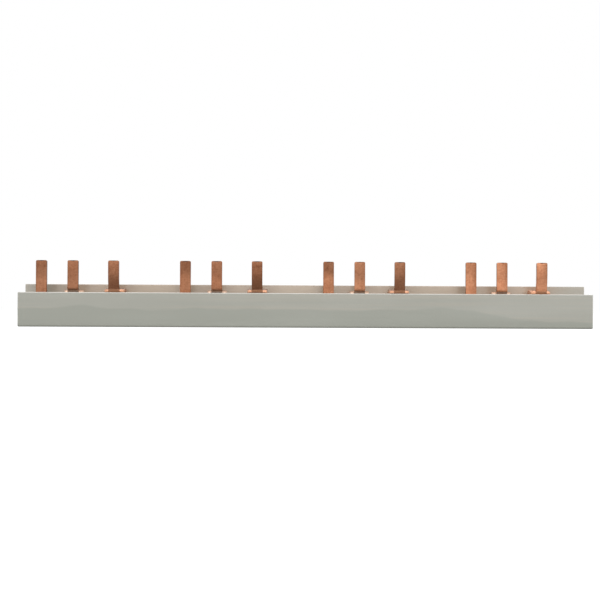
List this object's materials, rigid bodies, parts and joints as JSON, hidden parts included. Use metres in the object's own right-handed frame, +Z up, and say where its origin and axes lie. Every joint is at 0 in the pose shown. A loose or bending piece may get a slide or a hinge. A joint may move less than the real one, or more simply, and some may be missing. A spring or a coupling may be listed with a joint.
{
  "type": "comb busbar",
  "caption": "Three-phase pin comb busbar: an open-topped insulating profile that holds stamped copper combs whose pins feed a row of modular circuit breakers.",
  "frame": {"origin": "middle of the profile's underside", "axes": "+X along the bar, with phase 1 at its left end, -Y out of the low front wall, +Z up the pins"},
  "size_m": [0.28, 0.015, 0.0324],
  "materials": {
    "profile_plastic": "light grey, smooth and slightly glossy",
    "copper_l1": "bare satin copper",
    "copper_l2": "bare satin copper",
    "copper_l3": "bare satin copper"
  },
  "bodies": {
    "root": {"insulating_profile": "profile_plastic", "phase_comb_l1": "copper_l1", "phase_comb_l2": "copper_l2", "phase_comb_l3": "copper_l3"}
  },
  "joints": []
}
